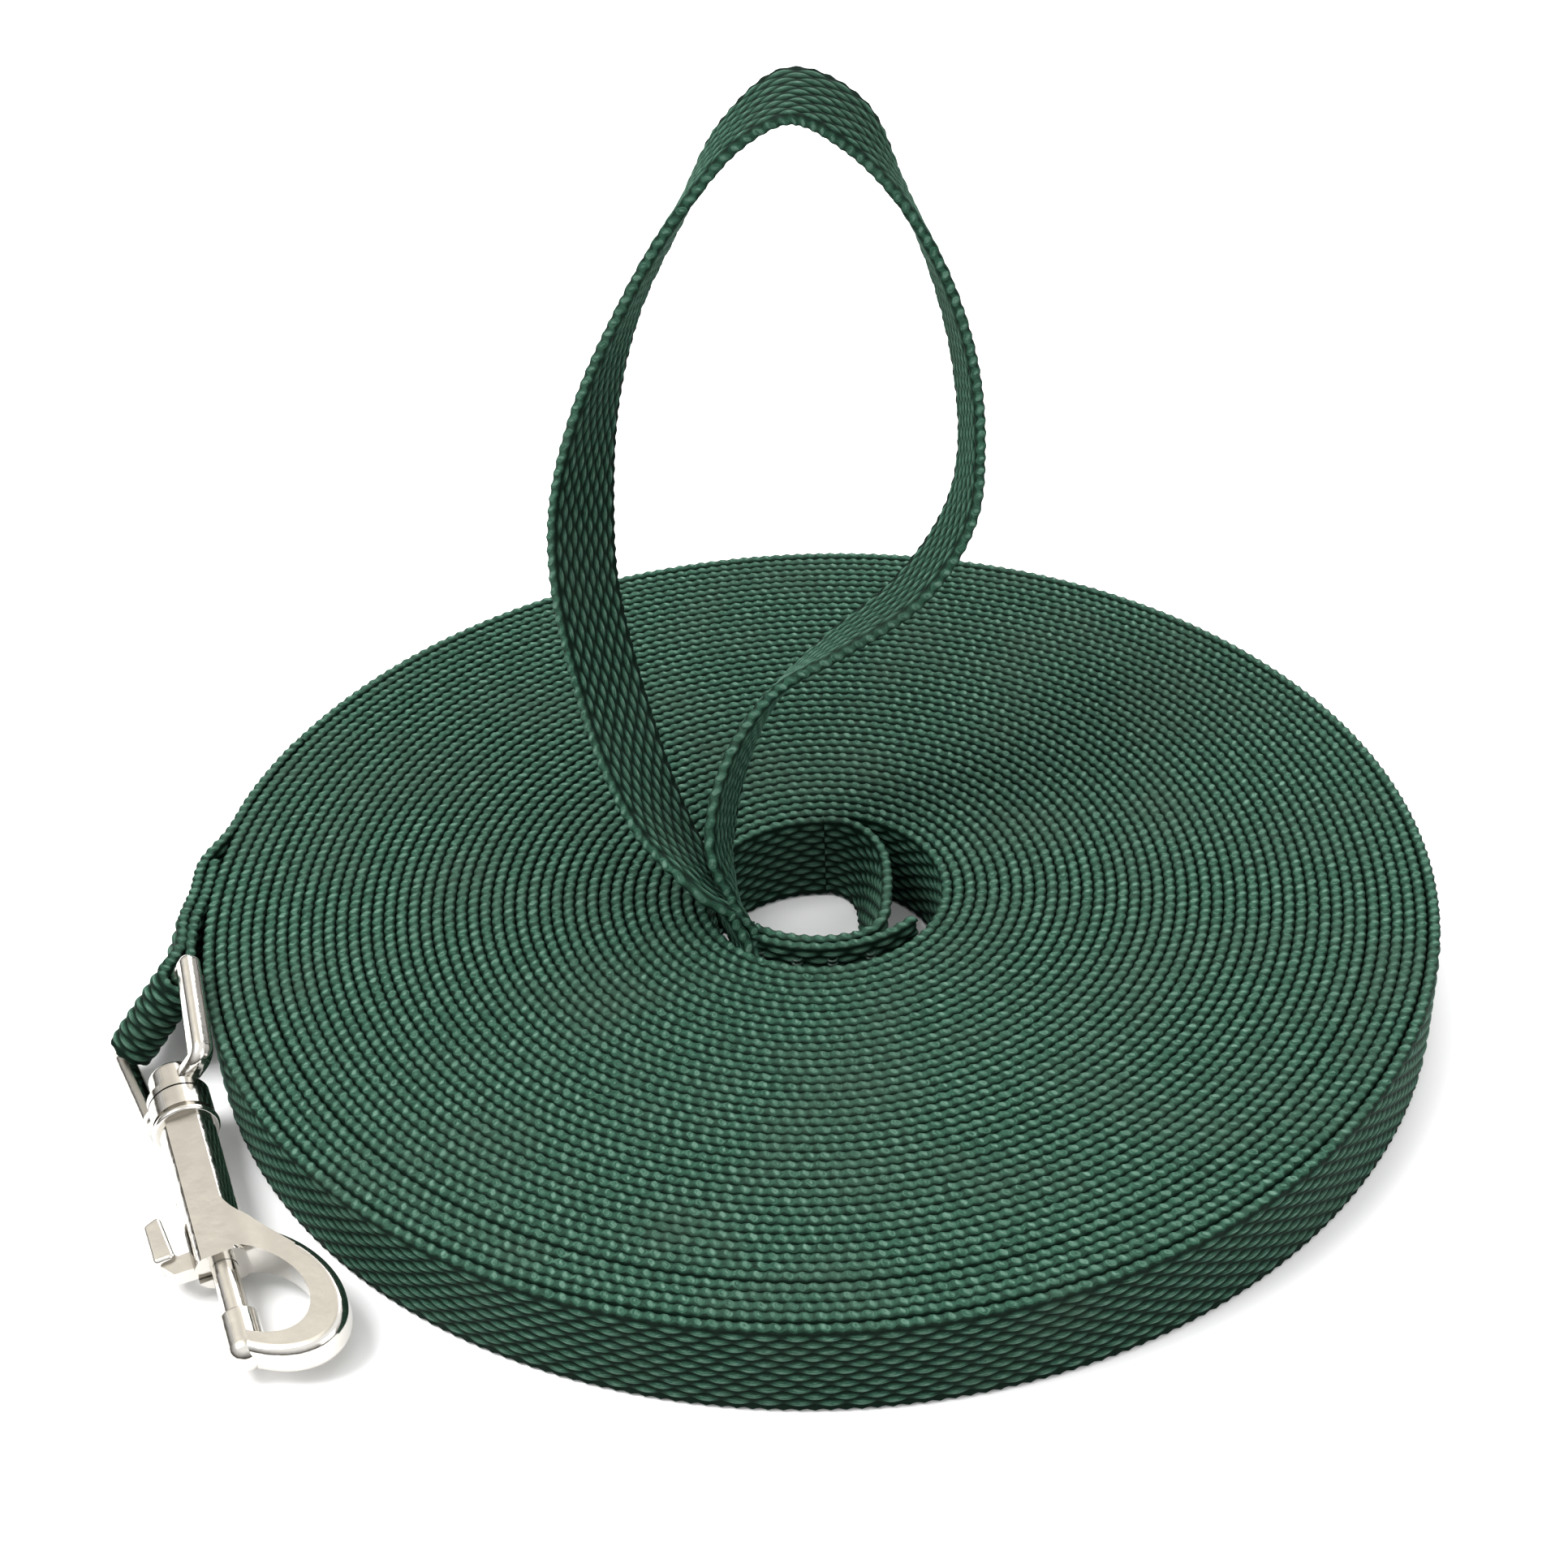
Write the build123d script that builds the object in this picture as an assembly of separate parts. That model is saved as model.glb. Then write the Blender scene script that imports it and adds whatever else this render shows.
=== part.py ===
from build123d import *
from math import cos, sin, radians, pi
import os

# A long training leash: one strip of woven webbing wound into a flat coil, with a sewn
# hand loop at its inner end and a swivel bolt snap sewn on at its outer end.
# Millimetres, +Z up, lying on the plane z = 0.

# ---- webbing ----
webbing_width = 15.0
webbing_thickness = 1.65
turn_gap = 0.15                 # air between two turns of the coil
layer_gap = 0.1                 # air between two sewn layers
thread_size = 0.5

# ---- coil ----
hole_radius = 17.2              # at the inner end of the strip
coil_turns = 43.4
hole_shift_x = 0.7              # the hole sits a little off the coil's centre
hole_shift_y = -5.4
inner_end_angle = 86.0          # where the innermost turn leaves the wall of the hole
outer_end_angle = 154.0         # where the outermost turn ends
coil_arcs_per_turn = 8
strap_clearance = 0.1           # between the coil and the strap that leaves it
leaning_lift = 0.1              # keeps the lower edge of a leaning strap off the floor

# ---- seam of the hand loop, inside the hole ----
seam_wall_gap = 3.9             # from the seam to the near wall of the hole
seam_start_angle = -62.0
seam_end_angle = -128.0
seam_step = 6.0                 # between two stations along the seam
seam_flap_steps = 3             # the free cut end beyond the seam
seam_centre_x = 1.0

# ---- swivel eye ----
eye_side_clearance = 1.2        # each side of the webbing
eye_wire = 3.2
eye_leg_depth = 3.2
eye_edge_round = 1.3
eye_bar_radius = 1.6
eye_fold_clearance = 0.2        # between the bar and the webbing round it
eye_leg_length = 16.2
eye_taper = 3.0                 # each leg leans in by this much
eye_boss_radius = 3.6
eye_flange_radius = 4.5
eye_flange_length = 1.2
shank_radius = 1.2
swivel_head_radius = 1.75
swivel_head_length = 1.4

# ---- snap body ----
swivel_clearance = 0.07         # running fit of the shank, and of the head in the bore
swivel_end_play = 0.3
barrel_radius = 4.0
barrel_flat_height = 3.3        # from the axis to each lapped flat of the barrel
collar_radius = 4.5
collar_rim_radius = 4.8
collar_length = 3.4
collar_groove = 0.7
collar_groove_radius = 3.7
collar_rim_length = 1.0
end_wall = 3.0
barrel_length = 30.9            # from the collar's end to the mouth of the hook
hook_opening_length = 18.2      # of the slanted oval opening
hook_opening_width = 11.2
hook_opening_centre_side = 3.1  # the opening's middle, sideways from the axis
hook_slant = 34.0               # of the opening's long axis from the snap's own
hook_end_band = 5.2             # the hook's section at the opening's end
hook_side_band = 3.2            # and beside it
hook_band_shift = 0.5           # the band is thicker on the outer side
hook_half_height = 2.6
hook_edge_round = 1.5
hook_inner_round = 0.4
blend_start = 1.8               # where the barrel's flat begins to slope to the hook's
blend_end = 9.0
shoulder_start = 19.0           # along the snap from the collar's end
tip_radius = 2.7
tip_socket_depth = 0.9
tip_length = 8.2
tip_round = 2.5
hook_gap = 8.8                  # between the mouth and the tip, closed by the bolt

# ---- bolt and its spring ----
bolt_radius = 1.8
bolt_clearance = 0.07
bolt_tail = 11.2                # the bolt's length behind the hook's mouth
bolt_travel = 9.2
bolt_end_gap = 0.3
thumb_arm_width = 2.4
thumb_arm_clearance = 0.2
thumb_reach = 8.8
thumb_tab_width = 4.4
thumb_tab_round = 0.7
spring_wire = 0.45
spring_turns = 9
spring_end_gap = 0.1

# ---- how the snap lies ----
eye_side_gap = 0.72             # from the coil's side to the end of the eye's bar
eye_angle = 193.1               # round the coil
eye_floor_gap = 1.32            # under the lower end of the eye's bar
snap_yaw = 19.5                 # turned from -Y towards +X
snap_slope = 5.5                # hook end lower than the eye
bar_lean = 52.0                 # of the webbing bar, up from the floor
body_roll = 7.0                 # of the hook about its own length

# ---- worked out ----
half_width = webbing_width / 2
turn_pitch = webbing_thickness + turn_gap
coil_end_radius = hole_radius + coil_turns * turn_pitch
layer_pitch = webbing_thickness + layer_gap
hole_centre = Vector(hole_shift_x, hole_shift_y, 0)
eye_inner_half = half_width + eye_side_clearance
eye_outer_half = eye_inner_half + eye_wire
eye_rise = eye_outer_half * cos(radians(bar_lean)) + eye_side_gap
eye_height = eye_outer_half * sin(radians(bar_lean)) + eye_floor_gap
eye_base_inner = eye_leg_length - eye_wire / 2
eye_base_outer = eye_leg_length + eye_wire / 2
eye_end = eye_base_outer + eye_flange_length
bore_radius = bolt_radius + bolt_clearance
shank_hole_radius = shank_radius + swivel_clearance
mouth = barrel_length
hook_centre = mouth + 7.2
tip_face = mouth + hook_gap
bolt_end = tip_face + tip_socket_depth - bolt_end_gap
bolt_start = mouth - bolt_tail
thumb_arm_front = mouth - 0.6
thumb_arm_length = 3.2


# ---------------------------------------------------------------- frames
def outer_radius(angle):
    """Radius of the coil's side at an angle, up to one turn before the outer end."""
    return coil_end_radius - turn_pitch * (outer_end_angle - angle) / 360


def inner_radius(angle):
    """Radius of the hole's wall at an angle, up to one turn past the inner end."""
    return hole_radius + turn_pitch * (angle - inner_end_angle) / 360


def polar(radius, angle, height=0.0):
    return Vector(radius * cos(radians(angle)), radius * sin(radians(angle)), height)


def beside_coil(angle, rise, height):
    """A point outside the coil, a rise away from the turn under the outer end."""
    return polar(outer_radius(outer_end_angle - 360) + rise, angle, height)


def snap_axis():
    slope, yaw = radians(snap_slope), radians(snap_yaw)
    return Vector(sin(yaw) * cos(slope), -cos(yaw) * cos(slope), -sin(slope))


def side_of_axis(roll):
    """Unit vector square to the snap's axis, turned up from level by roll degrees."""
    axis = snap_axis()
    level = Vector(0, 0, 1).cross(axis).normalized()
    up = axis.cross(level)
    return level * cos(radians(roll)) + up * sin(radians(roll))


def eye_frame():
    """x along the snap, y along the webbing bar, origin at the bar's middle."""
    origin = beside_coil(eye_angle, eye_rise, eye_height)
    axis = snap_axis()
    return Plane(origin=origin, x_dir=axis, z_dir=axis.cross(side_of_axis(bar_lean)))


def body_frame():
    """x along the snap, y towards the hook's side, origin at the collar's end face."""
    axis = snap_axis()
    start = beside_coil(eye_angle, eye_rise, eye_height) + axis * (eye_end + swivel_end_play)
    return Plane(origin=start, x_dir=axis, z_dir=axis.cross(side_of_axis(body_roll)))


# ---------------------------------------------------------------- webbing
def spiral_face(radius_at, first_angle, centre):
    """The face inside one full turn of a spiral, closed by its step."""
    step = 360 / coil_arcs_per_turn
    edges = []
    for i in range(coil_arcs_per_turn):
        stops = [first_angle + step * (i + part) for part in (0, 0.5, 1)]
        edges.append(ThreePointArc(*[centre + polar(radius_at(a), a) for a in stops]))
    edges.append(Line(edges[-1] @ 1, edges[0] @ 0))
    return make_face(edges)


def webbing_coil():
    outline = spiral_face(outer_radius, outer_end_angle - 360, Vector(0, 0, 0))
    hole = spiral_face(inner_radius, inner_end_angle, hole_centre)
    return extrude(outline, webbing_width) - extrude(hole, webbing_width)


def strap(stations):
    """A flat strap through stations of (centre, direction across its width)."""
    sections = []
    for i, (centre, across) in enumerate(stations):
        before = stations[max(i - 1, 0)][0]
        after = stations[min(i + 1, len(stations) - 1)][0]
        along = (after - before).normalized()
        square = (across - along * across.dot(along)).normalized()
        plane = Plane(origin=centre, x_dir=square, z_dir=along)
        sections.append(plane * Rectangle(webbing_width, webbing_thickness))
    return loft(sections, ruled=True)


def upright(x, y, lean_x=0.0, lean_y=0.0):
    """A station standing on edge on the floor, its upper edge leaning out of the vertical."""
    return Vector(x, y, half_width + leaning_lift), Vector(lean_x, lean_y, 1)


def seam_radius(layer):
    """Middle of a sewn layer: 0 is the layer nearer the hole's centre, 1 the outer one."""
    near_wall = -(hole_shift_y - inner_radius(270))
    outer_face = near_wall - seam_wall_gap
    return outer_face - webbing_thickness / 2 - (1 - layer) * layer_pitch


def seam_stations(layer, first_step, last_step):
    """Stations along a sewn layer, in whole steps from the seam's start."""
    stations = []
    for i in range(first_step, last_step + (1 if last_step > first_step else -1),
                   1 if last_step > first_step else -1):
        angle = seam_start_angle - seam_step * i
        centre = Vector(seam_centre_x, 0, half_width) + polar(seam_radius(layer), angle)
        stations.append((centre, Vector(0, 0, 1)))
    return stations


def seam_steps():
    """How many steps the two layers are sewn together for."""
    return round((seam_start_angle - seam_end_angle) / seam_step)


def webbing_lead():
    """From the innermost turn across the hole's right side, then along the seam."""
    start_height = half_width + leaning_lift
    start = hole_centre + polar(hole_radius + webbing_thickness / 2, inner_end_angle, start_height)
    free = [
        (start, Vector(0, 0, 1)),
        upright(start.X + 0.8, start.Y - 0.05),
        upright(start.X + 3.6, start.Y - 1.3, lean_x=0.03, lean_y=0.05),
        upright(start.X + 6.0, start.Y - 4.4, lean_x=0.12, lean_y=0.08),
        upright(start.X + 7.2, start.Y - 9.0, lean_x=0.24, lean_y=0.04),
        upright(start.X + 7.3, start.Y - 14.4, lean_x=0.28, lean_y=0.0),
        upright(start.X + 7.2, start.Y - 19.6, lean_x=0.24, lean_y=-0.02),
        upright(start.X + 7.0, start.Y - 24.2, lean_x=0.16, lean_y=-0.03),
        upright(start.X + 6.2, start.Y - 27.0, lean_x=0.08, lean_y=-0.02),
    ]
    return strap(free + seam_stations(0, 2, seam_steps()))


def loop_root(layer):
    """Where a layer leaves the seam for the hand loop."""
    return seam_stations(layer, seam_steps(), seam_steps() + 1)


def webbing_handle():
    """The hand loop: up from the seam's inner layer, over the top, down to the outer layer."""
    inner, outer = loop_root(0)[0][0], loop_root(1)[0][0]
    rising = [
        (inner + Vector(-2.2, 3.6, 4.0), Vector(0.05, -0.15, 1)),
        (inner + Vector(-3.4, 6.0, 10.0), Vector(-0.08, -0.50, 0.83)),
        (inner + Vector(-4.6, 8.8, 17.5), Vector(-0.20, -0.80, 0.56)),
        (inner + Vector(-2.0, 15.4, 25.8), Vector(-0.18, -0.80, 0.57)),
        (inner + Vector(4.6, 23.4, 33.3), Vector(-0.02, -0.83, 0.56)),
        (inner + Vector(14.2, 28.4, 38.4), Vector(0.12, -0.91, 0.39)),
        (inner + Vector(25.8, 33.4, 44.6), Vector(0.17, -0.94, 0.29)),
        (inner + Vector(33.6, 40.4, 52.5), Vector(0.19, -0.91, 0.36)),
        (inner + Vector(36.2, 46.4, 60.6), Vector(0.12, -0.88, 0.46)),
        (inner + Vector(35.8, 52.4, 72.5), Vector(0.10, -0.90, 0.43)),
        (inner + Vector(32.4, 56.4, 85.5), Vector(0.03, -0.91, 0.40)),
        (inner + Vector(26.5, 59.4, 98.1), Vector(-0.11, -0.94, 0.33)),
        (inner + Vector(19.6, 61.4, 108.2), Vector(-0.23, -0.97, -0.06)),
        (inner + Vector(10.8, 61.6, 112.6), Vector(-0.01, -0.99, -0.14)),
    ]
    falling = [
        (outer + Vector(2.8, 61.7, 107.6), Vector(0.14, -0.98, 0.15)),
        (outer + Vector(-5.6, 59.7, 96.2), Vector(0.00, -0.92, 0.39)),
        (outer + Vector(-13.8, 56.7, 82.9), Vector(-0.10, -0.89, 0.45)),
        (outer + Vector(-19.6, 51.7, 69.4), Vector(-0.34, -0.84, 0.43)),
        (outer + Vector(-22.6, 45.7, 56.0), Vector(-0.56, -0.75, 0.36)),
        (outer + Vector(-22.7, 38.7, 45.7), Vector(-0.58, -0.75, 0.32)),
        (outer + Vector(-19.6, 28.7, 32.8), Vector(-0.58, -0.75, 0.32)),
        (outer + Vector(-15.3, 17.7, 23.5), Vector(-0.53, -0.77, 0.36)),
        (outer + Vector(-11.3, 10.7, 17.8), Vector(-0.43, -0.80, 0.41)),
        (outer + Vector(-6.6, 5.2, 13.4), Vector(-0.29, -0.70, 0.60)),
        (outer + Vector(-3.6, 4.3, 9.2), Vector(-0.16, -0.48, 0.85)),
        (outer + Vector(-1.8, 2.6, 4.0), Vector(-0.04, -0.14, 1)),
    ]
    sewn = seam_stations(1, seam_steps() + 1, -seam_flap_steps)
    return strap(loop_root(0) + rising + falling + sewn)


def fold_spine():
    """Middle of the two sewn layers, from the eye's bar back to the tail's cut end."""
    bar = eye_frame()
    return [
        (bar.origin, bar.y_dir),
        (beside_coil(188.8, eye_rise - 1.6, eye_height - 0.5), Vector(0.55, 0.12, 0.83)),
        (beside_coil(184.4, eye_rise - 3.2, half_width + 1.6), Vector(0.33, 0.05, 0.94)),
        (beside_coil(179.7, 1.75 * layer_pitch, half_width + 0.5), Vector(0.17, 0.02, 0.98)),
        (beside_coil(174.8, 1.45 * layer_pitch, half_width + leaning_lift), Vector(0.06, 0, 1)),
    ]


def fold_layer(side):
    """Stations of one layer over the spine, leaving out the bar itself."""
    spine = fold_spine()
    stations = []
    for i in range(1, len(spine)):
        centre, across = spine[i]
        along = (spine[min(i + 1, len(spine) - 1)][0] - spine[i - 1][0]).normalized()
        off = across.cross(along).normalized()
        stations.append((centre + off * (side * layer_pitch / 2), across))
    return stations


def fold_turn():
    """Stations round the eye's bar, from the coil's side to the outer side."""
    bar = eye_frame()
    radius = eye_bar_radius + eye_fold_clearance + webbing_thickness / 2
    back = (fold_spine()[1][0] - bar.origin).normalized()
    back = (back - bar.y_dir * back.dot(bar.y_dir)).normalized()
    side = bar.y_dir.cross(back)
    stations = []
    for angle in range(-80, 261, 20):
        reach = side * cos(radians(angle)) - back * sin(radians(angle))
        stations.append((bar.origin + reach * radius, bar.y_dir))
    return stations


def webbing_snap_end():
    """From the coil's outer end, round the eye's bar, and back to the sewn cut end."""
    start_radius = coil_end_radius - webbing_thickness / 2
    run = [(polar(start_radius, outer_end_angle, half_width), Vector(0, 0, 1))]
    for angle in (154.6, 159.2, 164.4, 169.6):
        rise = turn_gap + webbing_thickness / 2 + strap_clearance
        run.append((beside_coil(angle, rise, half_width), Vector(0, 0, 1)))
    coming = list(reversed(fold_layer(1)))
    return strap(run + coming + fold_turn()[4:-4] + fold_layer(-1))


# ---------------------------------------------------------------- stitching
def bartack(plane, length):
    """A row of thread across the webbing: a bar on each face and posts through both layers."""
    reach = layer_pitch / 2 + webbing_thickness / 2
    tack = None
    for side in (-1, 1):
        bar = plane * Pos(0, 0, side * reach) * Box(length, thread_size, thread_size)
        tack = bar if tack is None else tack + bar
    for i in range(5):
        x = (i / 4 - 0.5) * (length - thread_size)
        tack += plane * Pos(x, 0, 0) * Box(thread_size, thread_size, 2 * reach)
    return tack


def handle_stitching():
    """Bartacks spread along the seam of the hand loop."""
    middle = (seam_radius(0) + seam_radius(1)) / 2
    tacks = []
    for share in (0.12, 0.37, 0.63, 0.88):
        angle = seam_start_angle + (seam_end_angle - seam_start_angle) * share
        centre = Vector(seam_centre_x, 0, half_width) + polar(middle, angle)
        plane = Plane(origin=centre, x_dir=(0, 0, 1), z_dir=polar(1, angle))
        tacks.append(bartack(plane, webbing_width * 0.72))
    return tacks


def snap_stitching():
    """Bartacks through the two layers between the eye and the tail's cut end."""
    spine = fold_spine()
    tacks = []
    for first, share in ((1, 0.7), (2, 0.6), (3, 0.6)):
        (a, across_a), (b, across_b) = spine[first], spine[first + 1]
        along = (b - a).normalized()
        across = (across_a * (1 - share) + across_b * share)
        across = (across - along * across.dot(along)).normalized()
        plane = Plane(origin=a + (b - a) * share, x_dir=across, z_dir=across.cross(along))
        tacks.append(bartack(plane, webbing_width * 0.72))
    return tacks


# ---------------------------------------------------------------- swivel eye
def eye_outline(bar_half, base_half, start, end):
    return make_face(Polyline((start, -bar_half), (end, -base_half), (end, base_half),
                              (start, bar_half), close=True))


def swivel_eye():
    """Tapered loop with a round webbing bar, a boss, and a shank with a peened head."""
    outer = eye_outline(eye_outer_half, eye_outer_half - eye_taper, -eye_wire / 2, eye_base_outer)
    inner = eye_outline(eye_inner_half, eye_inner_half - eye_taper, -eye_wire, eye_base_inner)
    plate = extrude(outer - inner, eye_leg_depth / 2, both=True)
    upright_edges = plate.edges().filter_by(Axis.Z)
    plate = fillet(upright_edges.group_by(Axis.X)[-1], eye_wire)
    plate = fillet(plate.edges().filter_by(Axis.Z).group_by(Axis.X)[0], eye_edge_round)
    plate = fillet(plate.faces().filter_by(Axis.Z).edges(), eye_edge_round)
    bar = Cylinder(eye_bar_radius, 2 * eye_inner_half + eye_wire, rotation=(90, 0, 0))
    boss_start = eye_base_inner - 1.6
    along_x = Plane(origin=(boss_start, 0, 0), x_dir=(0, 1, 0), z_dir=(1, 0, 0))
    boss = along_x * Cylinder(eye_boss_radius, eye_end - boss_start, align=(Align.CENTER,) * 2 + (Align.MIN,))
    boss = fillet(boss.edges().group_by(Axis.X)[0], 1.2)
    head_start = eye_end + swivel_end_play + end_wall + swivel_end_play
    flange = on_axis(eye_flange_radius, eye_base_outer, eye_end)
    shank = on_axis(shank_radius, eye_end, head_start)
    head = on_axis(swivel_head_radius, head_start, head_start + swivel_head_length)
    return plate + bar + boss + flange + shank + head


def on_axis(radius, start, end):
    """A cylinder along the local x axis between two places on it."""
    plane = Plane(origin=(start, 0, 0), x_dir=(0, 1, 0), z_dir=(1, 0, 0))
    return plane * Cylinder(radius, end - start, align=(Align.CENTER, Align.CENTER, Align.MIN))


# ---------------------------------------------------------------- snap body
def opening_outline():
    """The hook's slanted oval opening."""
    oval = Rot(0, 0, hook_slant) * Ellipse(hook_opening_length / 2, hook_opening_width / 2)
    return Pos(hook_centre, hook_opening_centre_side, 0) * oval


def hook_ring():
    """An oval ring with rounded edges, kept only on the hook's side of the axis."""
    outer = Ellipse(hook_opening_length / 2 + hook_end_band,
                    hook_opening_width / 2 + hook_side_band)
    outer = Rot(0, 0, hook_slant) * (Pos(0, hook_band_shift, 0) * outer)
    block = extrude(Pos(hook_centre, hook_opening_centre_side, 0) * outer,
                    hook_half_height, both=True)
    block = fillet(block.faces().filter_by(Axis.Z).edges(), hook_edge_round)
    block -= extrude(opening_outline(), 2 * hook_half_height, both=True)
    return block - Pos(mouth, -40, 0) * Box(80, 80, 80)


def hook_tip():
    """A round-ended knob on the axis that takes the bolt's end."""
    knob = on_axis(tip_radius, tip_face, tip_face + tip_length)
    knob = fillet(knob.edges().group_by(Axis.X)[-1], tip_round)
    return fillet(knob.edges().group_by(Axis.X)[0], hook_inner_round)


def shoulder():
    """The web that spreads from the barrel's side along the hook's slant."""
    start = (shoulder_start, barrel_radius - 2.1)
    outline = make_face([
        Line((shoulder_start, 0), (mouth, 0)),
        Line((mouth, 0), (hook_centre - 1.5, 9.4)),
        Line((hook_centre - 1.5, 9.4), (hook_centre - 4.9, 10.0)),
        Line((hook_centre - 4.9, 10.0), (hook_centre - 12.5, 4.8)),
        ThreePointArc((hook_centre - 12.5, 4.8), (hook_centre - 15.5, 2.75), start),
        Line(start, (shoulder_start, 0)),
    ])
    web = extrude(outline, barrel_flat_height, both=True)
    return web - extrude(opening_outline(), 2 * barrel_flat_height, both=True)


def lapped_block():
    """Everything between the two flats, which slope from the barrel's to the hook's height."""
    far = 40
    middle = (blend_start + blend_end) / 2
    top = [
        Line((-far, barrel_flat_height), (blend_start, barrel_flat_height)),
        Bezier((blend_start, barrel_flat_height), (middle, barrel_flat_height),
               (middle, hook_half_height), (blend_end, hook_half_height)),
        Line((blend_end, hook_half_height), (far, hook_half_height)),
    ]
    bottom = [edge.mirror(Plane.XZ) for edge in top]
    ends = [Line((side, barrel_flat_height if side < 0 else hook_half_height),
                 (side, -barrel_flat_height if side < 0 else -hook_half_height))
            for side in (-far, far)]
    section = Plane(origin=(0, 0, 0), x_dir=(0, 1, 0), z_dir=(1, 0, 0)) * make_face(top + bottom + ends)
    return extrude(section, 2 * mouth)


def collar():
    """Two rings and a groove round the barrel's end."""
    rim_start = collar_length + collar_groove
    rings = on_axis(collar_radius, 0, collar_length)
    rings += on_axis(collar_groove_radius, collar_length, rim_start)
    rim = on_axis(collar_rim_radius, rim_start, rim_start + collar_rim_length)
    return rings + fillet(rim.edges().filter_by(GeomType.CIRCLE), collar_rim_length * 0.4)


def snap_body():
    """Cast body: barrel, collar and hook in one, with its bore, slot and tip socket."""
    barrel = on_axis(barrel_radius, collar_length + collar_groove, mouth)
    body = (barrel + shoulder()) & lapped_block()
    body = body + collar() + hook_ring() + hook_tip()
    body -= on_axis(shank_hole_radius, -1, end_wall + 1)
    body -= on_axis(bore_radius, end_wall, mouth + 1)
    body -= on_axis(bolt_radius + 0.15, tip_face - 1, tip_face + tip_socket_depth)
    slot_start = thumb_arm_front - thumb_arm_length - bolt_travel - thumb_arm_clearance
    slot_length = mouth + 1 - slot_start
    slot_width = thumb_arm_width + 2 * thumb_arm_clearance
    body -= Pos(slot_start + slot_length / 2, -5, 0) * Box(slot_length, 10, slot_width)
    return body


# ---------------------------------------------------------------- bolt
def thumb_tab():
    """Arm through the slot and a tab turned up towards the eye."""
    back = thumb_arm_front - thumb_arm_length
    arm = make_face(Polyline((thumb_arm_front, 0), (thumb_arm_front - 0.4, -thumb_reach + 2.4),
                             (thumb_arm_front - 4.0, -thumb_reach), (back - 2.4, -thumb_reach),
                             (back - 1.2, -thumb_reach + 2.6), (back, -thumb_reach + 3.4),
                             (back, 0), close=True))
    tab = make_face(Polyline((back + 0.6, -thumb_reach + 0.2), (back - 6.4, -thumb_reach),
                             (back - 7.4, -thumb_reach + 2.4), (back + 0.6, -thumb_reach + 3.2),
                             close=True))
    lever = extrude(tab, thumb_tab_width / 2, both=True)
    lever = fillet(lever.edges().filter_by(Axis.Z), thumb_tab_round)
    lever = fillet(lever.faces().filter_by(Axis.Z).edges(), thumb_tab_round * 0.8)
    return extrude(arm, thumb_arm_width / 2, both=True) + lever


def bolt():
    rod = on_axis(bolt_radius, bolt_start, bolt_end)
    rod = chamfer(rod.edges().group_by(Axis.X)[-1], 0.4)
    return rod + thumb_tab()


def bolt_spring():
    """Compression spring between the swivel's head and the bolt's back end."""
    head_end = end_wall + swivel_end_play + swivel_head_length
    start = head_end + spring_end_gap + spring_wire / 2
    length = bolt_start - spring_end_gap - spring_wire / 2 - start
    radius = bore_radius - 0.25 - spring_wire / 2
    pitch = length / spring_turns
    path = Helix(pitch=pitch, height=pitch / 2, radius=radius)
    profile = Plane(origin=path @ 0, z_dir=path % 0) * Circle(spring_wire / 2)
    half_turn = sweep(profile, path=path, is_frenet=True)
    halves = [Pos(0, 0, i * pitch / 2) * Rot(0, 0, 180 * i) * half_turn for i in range(2 * spring_turns)]
    wire = halves[0].fuse(*halves[1:])
    return Plane(origin=(start, 0, 0), x_dir=(0, 1, 0), z_dir=(1, 0, 0)) * wire


# ---------------------------------------------------------------- assembly
def place(frame, shape):
    return frame.location * shape


def assembly():
    """Every piece by name, in the coil's own frame."""
    eye, body = eye_frame(), body_frame()
    return {
        "webbing_coil": webbing_coil(),
        "webbing_lead": webbing_lead(),
        "webbing_handle": webbing_handle(),
        "webbing_snap_end": webbing_snap_end(),
        "handle_stitching": handle_stitching(),
        "snap_stitching": snap_stitching(),
        "swivel_eye": place(eye, swivel_eye()),
        "snap_body": place(body, snap_body()),
        "bolt": place(body, bolt()),
        "bolt_spring": place(body, bolt_spring()),
    }


def solids_of(piece):
    """The separate solids of a piece, or of a list of pieces."""
    solids = []
    for shape in piece if isinstance(piece, list) else [piece]:
        solids += list(shape.solids())
    return solids


parts = {name: solids_of(piece) for name, piece in assembly().items()}
boxes = [solid.bounding_box() for solids in parts.values() for solid in solids]
low = [min(getattr(box.min, side) for box in boxes) for side in "XYZ"]
high = [max(getattr(box.max, side) for box in boxes) for side in "XYZ"]
to_origin = Location((-(low[0] + high[0]) / 2, -(low[1] + high[1]) / 2, 0))

os.makedirs("parts", exist_ok=True)
for name, solids in parts.items():
    moved = [solid.moved(to_origin) for solid in solids]
    export_step(moved[0] if len(moved) == 1 else Compound(children=moved), f"parts/{name}.step")

half_pitch = turn_pitch / 2
coil_area = pi * ((coil_end_radius - half_pitch)**2 - (hole_radius + half_pitch)**2)
strip_length = coil_area / turn_pitch
print(f"webbing in the coil {strip_length / 1000:.2f} m, side {coil_end_radius:.2f} mm")
print("moved by", to_origin.position, "lowest", round(low[2], 3))
for label, frame in (("eye bar", eye_frame()), ("collar", body_frame())):
    print(label, frame.origin + to_origin.position, "x", frame.x_dir, "y", frame.y_dir)
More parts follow.
